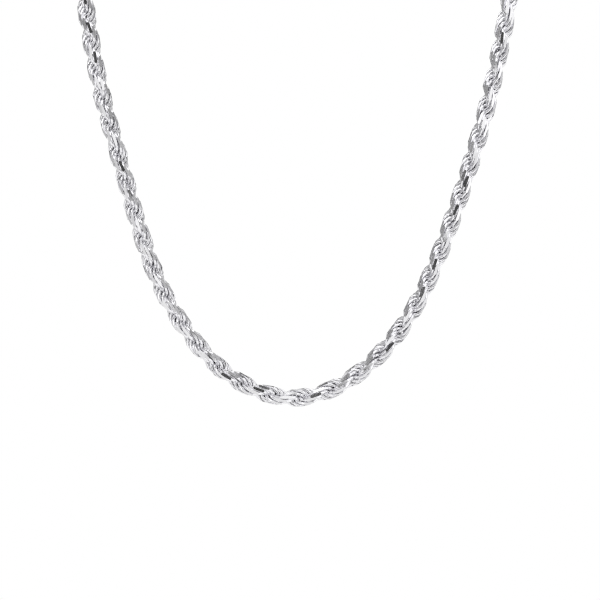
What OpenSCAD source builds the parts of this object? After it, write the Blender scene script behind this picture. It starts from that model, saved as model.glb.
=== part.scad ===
// Rope chain necklace, closed and hanging as it is worn.
// +X is to the right of someone who faces the wearer, -Y is the wearer's front and +Z is up.
// The origin is the middle of the closed clasp, on the nape of the neck.
// All sizes are in millimetres.

/* [Chain] */
// Width of the twisted rope across its widest lobes
chain_width = 4; // [3:0.1:5]
// Sides of the chain's round section
chain_sides = 12; // [8:1:12]

/* [End caps] */
// Thickness of the wall round the chain's end
cap_wall = 0.4; // [0.3:0.05:0.8]
// Depth of the socket that holds the chain's end
socket_depth = 4; // [3:0.25:6]
// Thickness of the closed end, behind the socket
cap_floor = 1; // [0.6:0.1:2]
// Gap between the chain and the socket, all round and at its bottom
socket_gap = 0.1; // [0.05:0.05:0.3]
// Radius of the rounded edge at the closed end
cap_edge = 0.8; // [0.4:0.1:1]
// Width of the raised bead round the mouth
cap_bead = 0.7; // [0.4:0.1:1]

/* [Eyes] */
// Thickness of the wire of the end caps' eyes
eye_wire = 0.9; // [0.6:0.1:1.2]
// Width of the hole in an end cap's eye
eye_hole = 2; // [1.8:0.1:3]

/* [Jump rings] */
// Thickness of the jump rings' wire
ring_wire = 0.9; // [0.6:0.1:1.2]
// Width of the hole in a jump ring
ring_hole = 3.4; // [3.2:0.1:5]

/* [Clasp] */
// Thickness of the clasp's round bow
claw_bar = 1.6; // [1.4:0.1:2]
// Width of the hole inside the bow
claw_hole = 2.6; // [2.2:0.1:4]
// Straight length of the bow, between its two round ends
claw_straight = 3.6; // [2:0.2:6]
// Length of the solid shank between the bow and the clasp's eye
shank_length = 2.4; // [1.5:0.1:4]
// Width of the shank
shank_width = 2.6; // [2:0.1:3.5]
// Thickness of the wire of the clasp's own eye
tail_wire = 1; // [0.8:0.1:1.2]
// Width of the hole in the clasp's own eye
tail_hole = 2; // [1.8:0.1:3]
// Height of the thumb tab on the bow's side
tab_height = 1; // [0.6:0.1:1.5]
// Width of the thumb tab
tab_width = 1.4; // [1:0.1:2]

/* [Hidden] */
$fn = 64;

// Gap that is left between pieces that hang in each other
link_gap = 0.1;
// Depth to which an eye is soldered into the end that carries it
solder_depth = 0.3;
// Straight run of chain between a cap's mouth and the first bend
straight_run = 0.5;
// Rings that the tube has between two points of the route
rings_per_span = 2;

// Widths along the clasp, from hole to hole of the pieces that hang in each other
eye_to_ring = (eye_hole + ring_hole) / 2 - link_gap;
ring_to_tail = (ring_hole + tail_hole) / 2 - link_gap;
claw_to_ring = (claw_hole + ring_hole) / 2 - link_gap;

// Length of the clasp, from the middle of its eye to the middle of the bow's far round end
tail_reach = tail_hole / 2 + tail_wire - solder_depth;
bow_reach = claw_bar + claw_hole / 2 - solder_depth;
clasp_length = tail_reach + shank_length + bow_reach + claw_straight;

// Places along X, with the clasp's middle at the origin
tail_x = -clasp_length / 2;
claw_x = clasp_length / 2;
ring_left_x = tail_x - ring_to_tail;
ring_right_x = claw_x + claw_to_ring;
eye_left_x = ring_left_x - eye_to_ring;
eye_right_x = ring_right_x + eye_to_ring;

// Sizes of an end cap, measured from the middle of its eye towards the chain
cap_radius = chain_width / 2 + socket_gap + cap_wall;
cap_end = eye_hole / 2 + eye_wire - solder_depth;
cap_mouth = cap_end + cap_floor + socket_depth;
chain_start = cap_end + cap_floor + socket_gap;
bend_start = cap_mouth + straight_run;

// Chosen points of the route, from the left of the nape, down the front and back up.
// The curve is drawn towards them and passes close by, and the front hangs at y = -82.
WORN_ROUTE = [
    [-29, -2, 0], [-41, -12, -2], [-50, -28, -7.5], [-54, -46, -16], [-54.5, -63.5, -27.5],
    [-52, -77.5, -41.5], [-48.5, -82, -54], [-46.5, -82, -68], [-44, -82, -83.5], [-39.5, -82, -99],
    [-35.5, -82, -113.5], [-31.5, -82, -126], [-25.5, -82, -137], [-16.5, -82, -148], [-1.5, -82, -154.5],
    [12.5, -82, -149], [23, -82, -138], [29.5, -82, -125.5], [34.5, -82, -112], [39, -82, -98],
    [43, -82, -83.5], [46, -82, -68], [48.5, -82, -54], [52, -77.5, -41.5], [54.5, -63.5, -27.5],
    [54, -46, -16], [50, -28, -7.5], [41, -12, -2], [29, -2, 0]
];

// Smooth curve along the route: a cubic B-spline through the two cap mouths
route_start = [eye_left_x - bend_start, 0, 0];
route_end = [eye_right_x + bend_start, 0, 0];
first_point = WORN_ROUTE[0];
last_point = WORN_ROUTE[len(WORN_ROUTE) - 1];
guides = concat(
    [2 * route_start - first_point, route_start],
    WORN_ROUTE,
    [route_end, 2 * route_end - last_point]
);
spans = len(guides) - 3;

function spline_point(i, t) =
    (pow(1 - t, 3) * guides[i]
    + (3 * pow(t, 3) - 6 * t * t + 4) * guides[i + 1]
    + (-3 * pow(t, 3) + 3 * t * t + 3 * t + 1) * guides[i + 2]
    + pow(t, 3) * guides[i + 3]) / 6;

// Middles of the tube's rings, from one end of the chain to the other
centres = concat(
    [[eye_left_x - chain_start, 0, 0]],
    [for (i = [0 : spans - 1], k = [0 : rings_per_span - 1]) spline_point(i, k / rings_per_span)],
    [route_end, [eye_right_x + chain_start, 0, 0]]
);
last_ring = len(centres) - 1;

// A ring stands square to the route, and its side vector points to the middle of the loop
LOOP_MIDDLE = [0, -42, -70];

function unit(v) = v / norm(v);
function tangent(i) = unit(centres[min(i + 1, last_ring)] - centres[max(i - 1, 0)]);
function inward(i) =
    let (along = tangent(i), to_middle = LOOP_MIDDLE - centres[i])
    unit(to_middle - (to_middle * along) * along);
function ring_points(i, radius) =
    let (side = inward(i), up = cross(tangent(i), side))
    [for (k = [0 : chain_sides - 1])
        let (angle = 360 * k / chain_sides)
        centres[i] + radius * (cos(angle) * side + sin(angle) * up)];

// Twisted rope, as a tube of its outer width
module rope_chain() {
    points = [for (i = [0 : last_ring]) each ring_points(i, chain_width / 2)];
    walls = [for (i = [0 : last_ring - 1], k = [0 : chain_sides - 1])
        let (next = (k + 1) % chain_sides, low = i * chain_sides, high = low + chain_sides)
        [low + next, low + k, high + k, high + next]];
    start_face = [for (k = [0 : chain_sides - 1]) k];
    end_face = [for (k = [chain_sides - 1 : -1 : 0]) last_ring * chain_sides + k];
    color("silver") polyhedron(points = points, faces = concat([start_face], walls, [end_face]));
}

// Closed ring of round wire that lies in the XZ plane
module wire_ring(hole, wire) {
    rotate([90, 0, 0])
        rotate_extrude() translate([(hole + wire) / 2, 0]) circle(d = wire);
}

// Outline of an end cap, turned round the chain's axis: socket, mouth bead and rounded closed end
module cap_outline() {
    difference() {
        union() {
            translate([0, cap_end + cap_edge]) square([cap_radius, cap_mouth - cap_end - cap_edge]);
            translate([0, cap_end]) square([cap_radius - cap_edge, cap_edge]);
            translate([cap_radius - cap_edge, cap_end + cap_edge]) circle(r = cap_edge);
            translate([cap_radius, cap_mouth - cap_bead / 2]) circle(d = cap_bead);
        }
        translate([0, cap_end + cap_floor]) square([chain_width / 2 + socket_gap, socket_depth + cap_bead]);
        translate([-cap_radius, 0]) square([cap_radius, cap_mouth]);
    }
}

// End cap with its eye, the eye's middle at the local origin and the chain towards +X
module end_cap() {
    rotate([0, 90, 0]) rotate_extrude() cap_outline();
    wire_ring(eye_hole, eye_wire);
}

module end_cap_left() {
    color("silver") translate([eye_left_x, 0, 0]) mirror([1, 0, 0]) end_cap();
}

module end_cap_right() {
    color("silver") translate([eye_right_x, 0, 0]) end_cap();
}

// Soldered jump ring that lies flat, square to the eyes on both its sides
module jump_ring(x) {
    color("silver") translate([x, 0, 0]) rotate([90, 0, 0]) wire_ring(ring_hole, ring_wire);
}

module jump_ring_left() {
    jump_ring(ring_left_x);
}

module jump_ring_right() {
    jump_ring(ring_right_x);
}

// Round end of the bow: half a ring, open towards -X
module bow_end() {
    rotate([90, 0, 0])
        rotate([0, 0, -90])
            rotate_extrude(angle = 180)
                translate([(claw_hole + claw_bar) / 2, 0]) circle(d = claw_bar);
}

// Closed clasp in one piece: eye, shank and long round bow with its thumb tab
module lobster_clasp() {
    bow_radius = (claw_hole + claw_bar) / 2;
    near_x = claw_x - claw_straight;
    shank_x = tail_x + tail_reach;
    color("silver") {
        translate([claw_x, 0, 0]) bow_end();
        translate([near_x, 0, 0]) mirror([1, 0, 0]) bow_end();
        for (side = [-1, 1])
            translate([near_x, 0, side * bow_radius])
                rotate([0, 90, 0])
                    cylinder(d = claw_bar, h = claw_straight);
        translate([shank_x, 0, 0]) rotate([0, 90, 0]) cylinder(d = shank_width, h = shank_length);
        translate([tail_x, 0, 0]) wire_ring(tail_hole, tail_wire);
        translate([near_x, 0, bow_radius]) cylinder(d = tab_width, h = claw_bar / 2 + tab_height);
    }
}

rope_chain();
end_cap_left();
end_cap_right();
jump_ring_left();
jump_ring_right();
lobster_clasp();
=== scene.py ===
"""Rope chain necklace of diamond-cut silver links, hung as it is worn, in a white studio."""

import logging
import math
import random
from bisect import bisect_right
from dataclasses import dataclass, field
from enum import Enum

import bpy
from mathutils import Matrix, Vector


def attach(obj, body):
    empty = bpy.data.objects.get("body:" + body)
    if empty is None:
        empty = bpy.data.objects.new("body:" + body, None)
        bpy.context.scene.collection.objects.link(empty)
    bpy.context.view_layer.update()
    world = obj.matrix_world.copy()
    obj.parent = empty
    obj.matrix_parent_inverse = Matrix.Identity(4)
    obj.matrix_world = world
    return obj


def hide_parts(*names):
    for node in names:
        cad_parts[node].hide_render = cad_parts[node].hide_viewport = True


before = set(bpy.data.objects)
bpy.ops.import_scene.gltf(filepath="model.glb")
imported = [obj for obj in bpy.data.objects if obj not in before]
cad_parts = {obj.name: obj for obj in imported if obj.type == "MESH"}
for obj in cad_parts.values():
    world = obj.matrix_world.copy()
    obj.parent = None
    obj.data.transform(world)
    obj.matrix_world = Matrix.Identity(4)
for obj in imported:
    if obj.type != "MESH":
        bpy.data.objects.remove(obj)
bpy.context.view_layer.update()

MM = 0.001
BODY = "root"
ROPE_NODE = "rope_chain"
CAMERA_SIDE = Vector((0.0, -1.0, 0.0))

# Chosen points of the route, in millimetres, as the part's source has them
WORN_ROUTE = (
    (-29, -2, 0), (-41, -12, -2), (-50, -28, -7.5), (-54, -46, -16), (-54.5, -63.5, -27.5),
    (-52, -77.5, -41.5), (-48.5, -82, -54), (-46.5, -82, -68), (-44, -82, -83.5),
    (-39.5, -82, -99), (-35.5, -82, -113.5), (-31.5, -82, -126), (-25.5, -82, -137),
    (-16.5, -82, -148), (-1.5, -82, -154.5), (12.5, -82, -149), (23, -82, -138),
    (29.5, -82, -125.5), (34.5, -82, -112), (39, -82, -98), (43, -82, -83.5), (46, -82, -68),
    (48.5, -82, -54), (52, -77.5, -41.5), (54.5, -63.5, -27.5), (54, -46, -16), (50, -28, -7.5),
    (41, -12, -2), (29, -2, 0),
)

# Places where a flat of the rope faces the camera: half turns counted, and millimetres along it
WAISTS = ((0, 141.3), (4, 166.5), (8, 192.4), (13, 225.5), (20, 272.2), (27, 318.3), (31, 343.7))

# The noise texture keeps to about this range
NOISE_RANGE = (0.3, 0.7)

log = logging.getLogger("rope_chain")


def grey(tone: float) -> tuple[float, float, float, float]:
    """Opaque grey of a tone, with red, green and blue alike."""
    return (tone, tone, tone, 1.0)


class Lay(Enum):
    """The two sets of rings, which take turns along the rope."""

    ODD = 0
    EVEN = 1


class NodeBench:
    """Node tree with short calls that add nodes and join them."""

    # The Mix node's colour sockets by number, because it has several of each name
    COLOUR_A = 6
    COLOUR_B = 7
    MIXED_COLOUR = 2

    def __init__(self, tree: bpy.types.NodeTree) -> None:
        """Empty the tree.

        Args:
            tree: Node tree of a material or a world.
        """
        self.tree = tree
        tree.nodes.clear()

    def add(self, kind: str, **settings: object) -> bpy.types.Node:
        """Add a node and set its own properties.

        Args:
            kind: Blender's name for the node type.
            **settings: Properties of the node.

        Returns:
            The new node.
        """
        node = self.tree.nodes.new(kind)
        for name, value in settings.items():
            setattr(node, name, value)
        return node

    def join(self, source: bpy.types.NodeSocket, target: bpy.types.NodeSocket) -> None:
        """Join an output socket to an input socket."""
        self.tree.links.new(source, target)

    def noise(self, place: bpy.types.NodeSocket, scale: float, detail: float) -> bpy.types.NodeSocket:
        """Add a noise texture.

        Args:
            place: Socket with the coordinates.
            scale: Number of grains in a metre.
            detail: Number of finer layers.

        Returns:
            The socket with the noise's value.
        """
        grain = self.add("ShaderNodeTexNoise")
        grain.inputs["Scale"].default_value = scale
        grain.inputs["Detail"].default_value = detail
        self.join(place, grain.inputs["Vector"])
        return grain.outputs["Fac"]

    def ranged(self, value: bpy.types.NodeSocket, source: tuple[float, float],
               target: tuple[float, float]) -> bpy.types.NodeSocket:
        """Map a value from one range to another.

        Args:
            value: Socket with the value.
            source: Low and high end of the range that it has.
            target: What those ends become.

        Returns:
            The socket with the mapped value.
        """
        shift = self.add("ShaderNodeMapRange")
        for name, number in zip(("From Min", "From Max", "To Min", "To Max"), source + target):
            shift.inputs[name].default_value = number
        self.join(value, shift.inputs["Value"])
        return shift.outputs["Result"]

    def ramp(self, value: bpy.types.NodeSocket,
             stops: tuple[tuple[float, float], ...]) -> bpy.types.NodeSocket:
        """Map a value to greys.

        Args:
            value: Socket with the value.
            stops: Positions and their tones, from low to high.

        Returns:
            The socket with the grey.
        """
        band = self.add("ShaderNodeValToRGB")
        stops_made = band.color_ramp.elements
        for stop, (position, tone) in zip(stops_made, (stops[0], stops[-1])):
            stop.position, stop.color = position, grey(tone)
        for position, tone in stops[1:-1]:
            stops_made.new(position).color = grey(tone)
        self.join(value, band.inputs["Fac"])
        return band.outputs["Color"]

    def times(self, one: bpy.types.NodeSocket, other: bpy.types.NodeSocket) -> bpy.types.NodeSocket:
        """Multiply two colours.

        Args:
            one: Socket with a colour.
            other: Socket with the other colour.

        Returns:
            The socket with their product.
        """
        both = self.add("ShaderNodeMix", data_type="RGBA", blend_type="MULTIPLY")
        both.inputs["Factor"].default_value = 1.0
        self.join(one, both.inputs[self.COLOUR_A])
        self.join(other, both.inputs[self.COLOUR_B])
        return both.outputs[self.MIXED_COLOUR]

    def blended(self, share: bpy.types.NodeSocket, one: bpy.types.NodeSocket,
                other: bpy.types.NodeSocket) -> bpy.types.NodeSocket:
        """Mix two shaders.

        Args:
            share: Socket with the other shader's share.
            one: Socket with a shader.
            other: Socket with the other shader.

        Returns:
            The socket with the mixed shader.
        """
        mix = self.add("ShaderNodeMixShader")
        for source, target in zip((share, one, other), mix.inputs):
            self.join(source, target)
        return mix.outputs["Shader"]

    def finish(self, shader: bpy.types.NodeSocket, kind: str = "ShaderNodeOutputMaterial") -> None:
        """Join a shader to a new output.

        Args:
            shader: Socket with the finished shader.
            kind: Blender's name for the output's node type.
        """
        self.join(shader, self.add(kind).inputs["Surface"])

    def polished_metal(self, place: bpy.types.NodeSocket, scale: float, detail: float,
                       roughness: tuple[float, float]) -> tuple[bpy.types.Node, bpy.types.NodeSocket]:
        """Add a metal shader with uneven polish and join it to the output.

        Args:
            place: Socket with the coordinates.
            scale: Number of polished patches in a metre.
            detail: Number of finer layers of them.
            roughness: Roughness where the polish is best and worst.

        Returns:
            The shader node and the socket with the polish.
        """
        metal = self.add("ShaderNodeBsdfPrincipled")
        metal.inputs["Metallic"].default_value = 1.0
        self.finish(metal.outputs["BSDF"])
        polish = self.noise(place, scale, detail)
        self.join(self.ranged(polish, NOISE_RANGE, roughness), metal.inputs["Roughness"])
        return metal, polish

    def raise_surface(self, metal: bpy.types.Node, height: bpy.types.NodeSocket, depth: float) -> None:
        """Give a shader a fine relief.

        Args:
            metal: The shader node.
            height: Socket with the relief's height, from 0 to 1.
            depth: Depth of the relief in metres.
        """
        bump = self.add("ShaderNodeBump")
        bump.inputs["Distance"].default_value = depth
        self.join(height, bump.inputs["Height"])
        self.join(bump.outputs["Normal"], metal.inputs["Normal"])


@dataclass(frozen=True)
class SilverFinish:
    """Finish of polished silver. On the rope it is brighter on the outer crowns of the wire and darker
    towards the inside of each ring, which is painted shade; on pieces without crowns it varies in random
    patches of tone.
    """

    name: str
    bright: tuple[float, float, float] = (0.93, 0.926, 0.947)
    # Colour of the painted shade inside the rope's rings, and of the darker random patches on pieces
    # without crowns
    shade_and_patch_colour: tuple[float, float, float] = (0.88, 0.877, 0.9)
    roughness: tuple[float, float] = (0.06, 0.16)
    grain_scale: float = 900.0
    grain_detail: float = 3.0
    scratch_scale: float = 7000.0
    scratch_detail: float = 2.0
    scratch_depth: float = 0.002 * MM
    has_crowns: bool = True
    crown_range: tuple[float, float] = (-0.5, 0.3)
    patch_range: tuple[float, float] = (0.25, 0.6)
    patch_tones: tuple[float, float] = (0.4, 1.0)

    def material(self) -> bpy.types.Material:
        """Make the material.

        Returns:
            A metal material with uneven polish, fine scratches and, on the rope, painted shade in the
            hollows inside the rings.
        """
        made = bpy.data.materials.new(self.name)
        made.use_nodes = True
        bench = NodeBench(made.node_tree)
        place = bench.add("ShaderNodeTexCoord").outputs["Object"]
        metal, polish = bench.polished_metal(place, self.grain_scale, self.grain_detail, self.roughness)
        scratches = bench.noise(place, self.scratch_scale, self.scratch_detail)
        bench.raise_surface(metal, scratches, self.scratch_depth)
        tint = bench.add("ShaderNodeMix", data_type="RGBA")
        tint.inputs[bench.COLOUR_A].default_value = (*self.shade_and_patch_colour, 1.0)
        tint.inputs[bench.COLOUR_B].default_value = (*self.bright, 1.0)
        # On the rope the crown height paints shade: the wire darkens towards the inside of its ring.
        # Without crowns, random noise gives patches of tone.
        if self.has_crowns:
            crown = bench.add("ShaderNodeAttribute", attribute_name=DiamondCutLink.CROWN)
            shown = bench.ranged(crown.outputs["Fac"], self.crown_range, (0.0, 1.0))
        else:
            shown = bench.ranged(polish, self.patch_range, self.patch_tones)
        bench.join(shown, tint.inputs["Factor"])
        bench.join(tint.outputs[bench.MIXED_COLOUR], metal.inputs["Base Color"])
        return made


@dataclass(frozen=True)
class CutFinish:
    """Finish of the flats that a diamond tool cuts: a mirror with the tool's fine parallel lines."""

    name: str = "diamond_cut_silver"
    # The flats' silver is set darker than the wire's silver, which is painted shade
    bright: tuple[float, float, float] = (0.79, 0.788, 0.8)
    roughness: tuple[float, float] = (0.05, 0.11)
    grain_scale: float = 600.0
    grain_detail: float = 2.0
    line_scale: float = 9000.0
    line_depth: float = 0.0004 * MM

    def material(self) -> bpy.types.Material:
        """Make the material.

        Returns:
            A mirror-smooth metal material, darker than the wire as painted shade, with faint tool lines.
        """
        made = bpy.data.materials.new(self.name)
        made.use_nodes = True
        bench = NodeBench(made.node_tree)
        place = bench.add("ShaderNodeTexCoord").outputs["Object"]
        metal, _ = bench.polished_metal(place, self.grain_scale, self.grain_detail, self.roughness)
        metal.inputs["Base Color"].default_value = (*self.bright, 1.0)
        lines = bench.add("ShaderNodeTexWave", wave_type="BANDS", bands_direction="Z")
        lines.inputs["Scale"].default_value = self.line_scale
        bench.join(place, lines.inputs["Vector"])
        bench.raise_surface(metal, lines.outputs["Fac"], self.line_depth)
        return made


@dataclass(frozen=True)
class Station:
    """One place on the route: its distance along it, its point, its direction and its front side."""

    distance: float
    point: Vector
    along: Vector
    front: Vector


@dataclass
class WornRoute:
    """Middle line of the rope, from the left end cap round the front to the right one."""

    points: tuple[tuple[float, float, float], ...] = WORN_ROUTE
    left_end: float = -13.05
    left_bend: float = -17.45
    right_bend: float = 17.75
    right_end: float = 13.35
    steps_per_span: int = 40
    stations: list[Station] = field(default_factory=list)

    def __post_init__(self) -> None:
        """Work out the stations."""
        line = self.line()
        count = len(line)
        along = [(line[min(i + 1, count - 1)] - line[max(i - 1, 0)]).normalized() for i in range(count)]
        lowest = min(range(count), key=lambda i: line[i].z)
        fronts = [CAMERA_SIDE] * count
        for order, back in ((range(lowest + 1, count), -1), (range(lowest - 1, -1, -1), 1)):
            for i in order:
                fronts[i] = self.squared(fronts[i + back], along[i])
        distance = 0.0
        for i in range(count):
            distance += (line[i] - line[i - 1]).length if i else 0.0
            self.stations.append(Station(distance, line[i], along[i], fronts[i]))

    @property
    def length(self) -> float:
        """Length of the route."""
        return self.stations[-1].distance

    @staticmethod
    def squared(side: Vector, along: Vector) -> Vector:
        """Turn a side vector so that it is square to a direction."""
        return (side - side.dot(along) * along).normalized()

    def line(self) -> list[Vector]:
        """Draw the middle line.

        Returns:
            Close points of it: a straight start, the cubic B-spline and a straight end.
        """
        start, end = Vector((self.left_bend, 0, 0)), Vector((self.right_bend, 0, 0))
        chosen = [Vector(p) for p in self.points]
        guides = [2 * start - chosen[0], start, *chosen, end, 2 * end - chosen[-1]]
        drawn = [Vector((self.left_end, 0, 0))]
        for i in range(len(guides) - 3):
            for k in range(self.steps_per_span):
                drawn.append(self.spline_point(guides[i:i + 4], k / self.steps_per_span))
        drawn += [end, Vector((self.right_end, 0, 0))]
        return [p * MM for p in drawn]

    @staticmethod
    def spline_point(near: list[Vector], t: float) -> Vector:
        """Find a point of the B-spline.

        Args:
            near: The four guides round the span.
            t: Place in the span, from 0 to 1.

        Returns:
            The point.
        """
        weights = ((1 - t) ** 3, 3 * t ** 3 - 6 * t * t + 4, -3 * t ** 3 + 3 * t * t + 3 * t + 1, t ** 3)
        return sum((w * p for w, p in zip(weights, near)), Vector()) / 6

    def at(self, distance: float) -> Matrix:
        """Find the cross-section at a distance along the route.

        Args:
            distance: Metres from the left end.

        Returns:
            Matrix whose X points to the front, Z along the rope, at that place.
        """
        after = bisect_right(self.stations, distance, key=lambda station: station.distance)
        after = min(max(after, 1), len(self.stations) - 1)
        a, b = self.stations[after - 1], self.stations[after]
        t = (distance - a.distance) / (b.distance - a.distance)
        along = a.along.lerp(b.along, t).normalized()
        front = self.squared(a.front.lerp(b.front, t), along)
        turned = Matrix((front, along.cross(front), along)).transposed().to_4x4()
        return Matrix.Translation(a.point.lerp(b.point, t)) @ turned


@dataclass
class DiamondCutLink:
    """One soldered ring of the rope, with the flat that the diamond tool leaves on its outer edge."""

    CROWN = "crown"
    FACES_FRONT = 0.999

    ring_radius: float = 1.7 * MM
    wire: float = 0.67 * MM
    flat_reach: float = 1.93 * MM
    off_middle: float = 0.22 * MM
    stretch: float = 1.36
    lean: float = math.radians(3.0)
    ring_steps: int = 14
    wire_steps: int = 6

    @property
    def half_length(self) -> float:
        """Half of the link's length along the rope."""
        return self.ring_radius * self.stretch + self.wire / 2

    def build(self, wire_finish: bpy.types.Material, flat_finish: bpy.types.Material) -> bpy.types.Object:
        """Model the link that all the others are copied from.

        Args:
            wire_finish: Material of the round wire.
            flat_finish: Material of the cut flat.

        Returns:
            The link, set a little off the rope's middle line, with its flat towards +X.
        """
        bpy.ops.object.select_all(action="DESELECT")
        bpy.ops.mesh.primitive_torus_add(
            major_radius=self.ring_radius, minor_radius=self.wire / 2,
            major_segments=self.ring_steps, minor_segments=self.wire_steps,
            rotation=(math.pi / 2, 0, 0),
        )
        link = bpy.context.object
        bpy.ops.object.transform_apply(location=False, rotation=True, scale=False)
        bpy.ops.object.shade_smooth()
        link.data.materials.append(wire_finish)
        link.data.materials.append(flat_finish)
        # The crown height drives the painted shade of the wire towards the inside of its ring
        heights = link.data.attributes.new(self.CROWN, "FLOAT", "POINT")
        heights.data.foreach_set("value", [self.crown(v.co) for v in link.data.vertices])
        self.draw_out(link)
        seat = Matrix.Translation((self.off_middle, 0, 0)) @ Matrix.Rotation(self.lean, 4, "X")
        link.data.transform(seat)
        self.cut_flat(link)
        return link

    def cut_flat(self, link: bpy.types.Object) -> None:
        """Cut the flat across the link's outer edge and give it its own finish.

        Args:
            link: The link, which is the active object.
        """
        bpy.ops.object.mode_set(mode="EDIT")
        bpy.ops.mesh.select_all(action="SELECT")
        bpy.ops.mesh.bisect(
            plane_co=(self.flat_reach, 0, 0), plane_no=(1, 0, 0), use_fill=True, clear_outer=True,
        )
        bpy.ops.mesh.mark_sharp()
        bpy.ops.object.mode_set(mode="OBJECT")
        for face in link.data.polygons:
            if face.normal.x > self.FACES_FRONT:
                face.material_index = 1

    def crown(self, place: Vector) -> float:
        """Tell how far out of the ring a place on its wire is, from -1 inside to 1 outside."""
        return (math.hypot(place.x, place.z) - self.ring_radius) / (self.wire / 2)

    def draw_out(self, link: bpy.types.Object) -> None:
        """Draw the round ring out along the rope, with its wire kept round."""
        for vertex in link.data.vertices:
            middle = Vector((vertex.co.x, 0, vertex.co.z)).normalized() * self.ring_radius
            vertex.co.z += middle.z * (self.stretch - 1)


@dataclass
class TwistedRope:
    """The rope: rings that go through each other, each turned a little further to the left."""

    route: WornRoute
    link: DiamondCutLink = field(default_factory=DiamondCutLink)
    links_per_turn: float = 26.0
    turn: float = 13.0 * MM
    unevenness: float = math.radians(3.5)
    seed: int = 3

    @property
    def spacing(self) -> float:
        """Distance along the rope from a link to the next one."""
        return self.turn / self.links_per_turn

    def twist(self, distance: float) -> float:
        """Angle of the twist at a distance along the rope.

        Args:
            distance: Metres from the left end.

        Returns:
            Angle in radians, a whole number of half turns where a flat faces the camera.
        """
        keys = [(count, place * MM) for count, place in WAISTS]
        passed = [key for key in keys if key[1] < distance]
        ahead = [key for key in keys if key[1] >= distance]
        count, place = passed[-1] if passed else ahead[0]
        half_turns = (distance - place) / (self.turn / 2)
        if passed and ahead:
            next_count, next_place = ahead[0]
            half_turns = (distance - place) / (next_place - place) * (next_count - count)
        return math.pi * (count + half_turns)

    def places(self) -> list[float]:
        """Distances along the rope at which links stand."""
        first, last = self.link.half_length, self.route.length - self.link.half_length
        count = int((last - first) / self.spacing) + 1
        return [first + i * self.spacing for i in range(count)]

    def build(self) -> list[bpy.types.Object]:
        """Model the rope.

        Returns:
            The two finished sets of rings.
        """
        model = self.link.build(SilverFinish("rope_silver").material(), CutFinish().material())
        chance = random.Random(self.seed)
        sets: dict[Lay, list[bpy.types.Object]] = {lay: [] for lay in Lay}
        for i, distance in enumerate(self.places()):
            uneven = Matrix.Identity(4)
            for axis in "XYZ":
                uneven @= Matrix.Rotation(chance.gauss(0, self.unevenness), 4, axis)
            copy = model.copy()
            copy.data = model.data.copy()
            turned = Matrix.Rotation(math.pi * (i % 2) - self.twist(distance), 4, "Z")
            copy.data.transform(self.route.at(distance) @ turned @ uneven)
            bpy.context.collection.objects.link(copy)
            sets[Lay(i % 2)].append(copy)
        bpy.data.objects.remove(model)
        return [self.joined(links, f"rope_rings_{lay.name.lower()}") for lay, links in sets.items()]

    @staticmethod
    def joined(links: list[bpy.types.Object], name: str) -> bpy.types.Object:
        """Join links to one piece.

        Args:
            links: The links of a set.
            name: Name of the piece.

        Returns:
            The piece.
        """
        bpy.ops.object.select_all(action="DESELECT")
        for link in links:
            link.select_set(True)
        bpy.context.view_layer.objects.active = links[0]
        bpy.ops.object.join()
        piece = bpy.context.object
        piece.name = name
        piece.data.name = name
        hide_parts(ROPE_NODE)
        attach(piece, BODY)
        return piece


@dataclass
class NapeFindings:
    """End caps, jump rings and clasp at the nape: they keep their built shape and get their silver."""

    finish: SilverFinish = SilverFinish(
        "findings_silver", bright=(0.86, 0.86, 0.875), shade_and_patch_colour=(0.6, 0.6, 0.62), roughness=(0.07, 0.2),
        grain_scale=500.0, scratch_scale=5000.0, has_crowns=False,
    )

    def dress(self) -> list[bpy.types.Object]:
        """Give every built finding its material.

        Returns:
            The dressed pieces.
        """
        silver = self.finish.material()
        dressed = []
        for name, piece in sorted(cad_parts.items()):
            if name != ROPE_NODE:
                piece.data.materials.clear()
                piece.data.materials.append(silver)
                dressed.append(piece)
        return dressed


@dataclass
class FrontCamera:
    """Camera that looks level at the front of the chain, as the photograph does."""

    target: Vector = field(default_factory=lambda: Vector((0.44, -82.0, -131.0)) * MM)
    framed: float = 132.0 * MM
    lens: float = 100.0
    sensor: float = 36.0
    nearest: float = 10.0 * MM

    def build(self) -> bpy.types.Object:
        """Set the camera up.

        Returns:
            The camera.
        """
        away = self.framed * self.lens / self.sensor
        bpy.ops.object.camera_add(location=self.target + CAMERA_SIDE * away, rotation=(math.pi / 2, 0, 0))
        camera = bpy.context.object
        camera.name = "front_camera"
        camera.data.lens = self.lens
        camera.data.sensor_width = self.sensor
        camera.data.clip_start = self.nearest
        bpy.context.scene.camera = camera
        return camera


@dataclass(frozen=True)
class StudioCard:
    """A card that the silver mirrors and the camera doesn't see."""

    name: str
    middle: tuple[float, float, float]
    size: tuple[float, float]
    tilt: float = math.pi / 2
    turn: float = 0.0
    tone: float = 0.08

    def hang(self) -> bpy.types.Object:
        """Hang the card, upright unless it has another tilt, and turned about the upright.

        Returns:
            The card.
        """
        bpy.ops.object.select_all(action="DESELECT")
        bpy.ops.mesh.primitive_plane_add(
            size=1, location=Vector(self.middle) * MM, rotation=(self.tilt, 0, self.turn),
        )
        card = bpy.context.object
        card.name = self.name
        card.scale = (self.size[0] * MM, self.size[1] * MM, 1.0)
        bpy.ops.object.transform_apply()
        paint = bpy.data.materials.new(self.name)
        paint.use_nodes = True
        shader = paint.node_tree.nodes["Principled BSDF"]
        shader.inputs["Base Color"].default_value = grey(self.tone)
        shader.inputs["Roughness"].default_value = 1.0
        card.data.materials.append(paint)
        card.visible_camera = False
        card.visible_shadow = False
        return card


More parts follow.
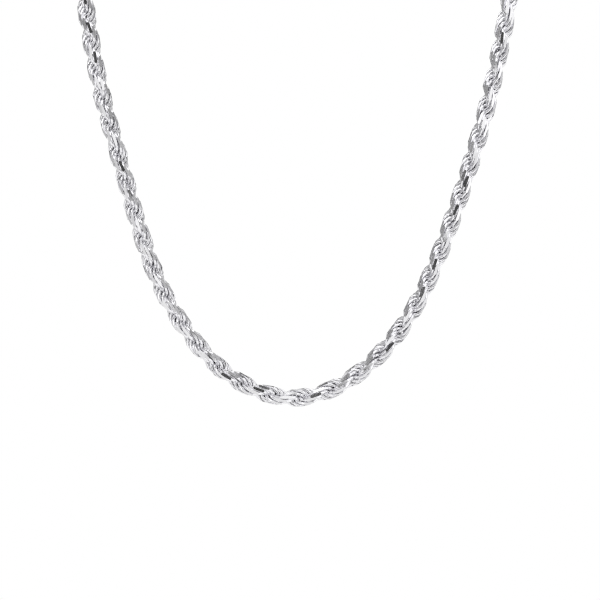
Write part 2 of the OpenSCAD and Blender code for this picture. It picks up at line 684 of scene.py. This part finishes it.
@dataclass(frozen=True)
class SoftLamp:
    """A wide soft lamp that shines at the middle of the chain's front."""

    name: str
    middle: tuple[float, float, float]
    size: tuple[float, float]
    watts: float
    aim: tuple[float, float, float] = (0.0, -82.0, -110.0)

    def hang(self) -> bpy.types.Object:
        """Hang the lamp.

        Returns:
            The lamp.
        """
        place = Vector(self.middle) * MM
        way = Vector(self.aim) * MM - place
        bpy.ops.object.light_add(
            type="AREA", location=place, rotation=way.to_track_quat("-Z", "Y").to_euler(),
        )
        lamp = bpy.context.object
        lamp.name = self.name
        lamp.data.shape = "RECTANGLE"
        lamp.data.size, lamp.data.size_y = self.size[0] * MM, self.size[1] * MM
        lamp.data.energy = self.watts
        lamp.visible_camera = False
        return lamp


@dataclass(frozen=True)
class FloorFinish:
    """Finish of the matt pale floor, which fades to plain white towards its rim."""

    name: str = "floor_pale"
    tone: float = 0.93
    fade: tuple[float, float] = (186.0 * MM, 600.0 * MM)

    def material(self) -> bpy.types.Material:
        """Make the material.

        Returns:
            A matt material in the middle and a plain white at the rim.
        """
        made = bpy.data.materials.new(self.name)
        made.use_nodes = True
        bench = NodeBench(made.node_tree)
        matt = bench.add("ShaderNodeBsdfDiffuse")
        matt.inputs["Color"].default_value = grey(self.tone)
        white = bench.add("ShaderNodeEmission")
        level = bench.add("ShaderNodeVectorMath", operation="MULTIPLY")
        level.inputs[1].default_value = (1.0, 1.0, 0.0)
        bench.join(bench.add("ShaderNodeTexCoord").outputs["Object"], level.inputs[0])
        spread = bench.add("ShaderNodeVectorMath", operation="LENGTH")
        bench.join(level.outputs["Vector"], spread.inputs[0])
        rim = bench.ranged(spread.outputs["Value"], self.fade, (0.0, 1.0))
        bench.finish(bench.blended(rim, matt.outputs["BSDF"], white.outputs["Emission"]))
        return made


@dataclass
class WhiteStudio:
    """Pale floor, soft white light from all round, and grey cards that only the silver mirrors."""

    floor_height: float = -350.0 * MM
    floor_radius: float = 620.0 * MM
    floor_sides: int = 128
    strength: float = 0.995
    height_tones: tuple[tuple[float, float], ...] = ((0.0, 1.05), (0.5, 0.95), (1.0, 1.2))
    depth_tones: tuple[tuple[float, float], ...] = ((0.0, 1.2), (0.4, 1.15), (0.5, 1.0), (1.0, 0.87))
    side_tones: tuple[tuple[float, float], ...] = ((0.0, 0.6), (0.3, 0.85), (0.5, 1.0), (1.0, 0.8))
    cards: tuple[StudioCard, ...] = (
        StudioCard("card_upper", (-22.0, -202.0, -52.0), (134.0, 50.0)),
        StudioCard("card_lower", (40.0, -202.0, -114.0), (84.0, 44.0)),
        StudioCard("card_low", (0.0, -202.0, -186.0), (170.0, 64.0)),
        StudioCard("card_inside_left", (-2.0, -76.0, -88.0), (86.0, 84.0), turn=math.pi / 2, tone=0.7),
        StudioCard("card_inside_right", (2.0, -76.0, -88.0), (86.0, 84.0), turn=math.pi / 2, tone=0.4),
        StudioCard("card_inside_top", (-4.0, -76.0, -58.0), (86.0, 34.0), turn=math.pi / 2, tone=0.5),
        StudioCard("card_side_left", (-92.0, -110.0, -56.0), (90.0, 44.0), turn=math.pi / 2, tone=0.45),
        StudioCard("card_back_upper", (0.0, 80.0, 34.0), (150.0, 26.0), tone=0.12),
        StudioCard("card_back_lower", (0.0, 80.0, -30.0), (150.0, 34.0), tone=0.25),
        StudioCard("card_top", (0.0, 24.0, 80.0), (110.0, 24.0), tilt=0.0, tone=0.15),
    )
    lamps: tuple[SoftLamp, ...] = (
        SoftLamp("key_light", (-170.0, -300.0, 120.0), (320.0, 220.0), 0.1),
        SoftLamp("side_light", (290.0, -160.0, -130.0), (200.0, 160.0), 0.04),
    )

    def build(self) -> None:
        """Set up the floor, the surroundings and the picture's tones."""
        self.lay_floor()
        for card in self.cards:
            card.hang()
        for lamp in self.lamps:
            lamp.hang()
        self.light_surroundings()
        bpy.context.scene.view_settings.view_transform = "Standard"
        bpy.context.scene.cycles.filter_width = 1.2

    def lay_floor(self) -> None:
        """Lay the pale floor, which fades to the white of the surroundings at its rim."""
        bpy.ops.object.select_all(action="DESELECT")
        bpy.ops.mesh.primitive_circle_add(
            vertices=self.floor_sides, radius=self.floor_radius, fill_type="NGON",
            location=(0, 0, self.floor_height),
        )
        floor = bpy.context.object
        bpy.ops.object.transform_apply()
        floor.name = "studio_floor"
        floor.data.materials.append(FloorFinish().material())

    def light_surroundings(self) -> None:
        """Make the soft white world, brighter behind the camera and overhead, dimmer at the sides."""
        world = bpy.data.worlds.new("white_tent")
        bpy.context.scene.world = world
        world.use_nodes = True
        bench = NodeBench(world.node_tree)
        way = bench.add("ShaderNodeTexCoord").outputs["Generated"]
        split = bench.add("ShaderNodeSeparateXYZ")
        bench.join(way, split.inputs["Vector"])
        axes = (("Z", self.height_tones), ("Y", self.depth_tones), ("X", self.side_tones))
        tent, depth, side = (
            bench.ramp(bench.ranged(split.outputs[axis], (-1.0, 1.0), (0.0, 1.0)), tones)
            for axis, tones in axes
        )
        tent = bench.times(bench.times(tent, depth), side)
        light = bench.add("ShaderNodeBackground")
        light.inputs["Strength"].default_value = self.strength
        bench.join(tent, light.inputs["Color"])
        white = bench.add("ShaderNodeBackground")
        white.inputs["Color"].default_value = grey(1.0)
        seen = bench.add("ShaderNodeLightPath").outputs["Is Camera Ray"]
        tent_and_ground = bench.blended(seen, light.outputs["Background"], white.outputs["Background"])
        bench.finish(tent_and_ground, "ShaderNodeOutputWorld")


def main() -> None:
    """Build everything in order and report each piece."""
    logging.basicConfig(level=logging.INFO, format="%(name)s: %(message)s")
    FrontCamera().build()
    route = WornRoute()
    log.info("route of %.1f mm", route.length / MM)
    for piece in TwistedRope(route).build():
        log.info("%s has %d faces", piece.name, len(piece.data.polygons))
    for piece in NapeFindings().dress():
        log.info("%s is dressed", piece.name)
    WhiteStudio().build()


if __name__ == "__main__":
    main()
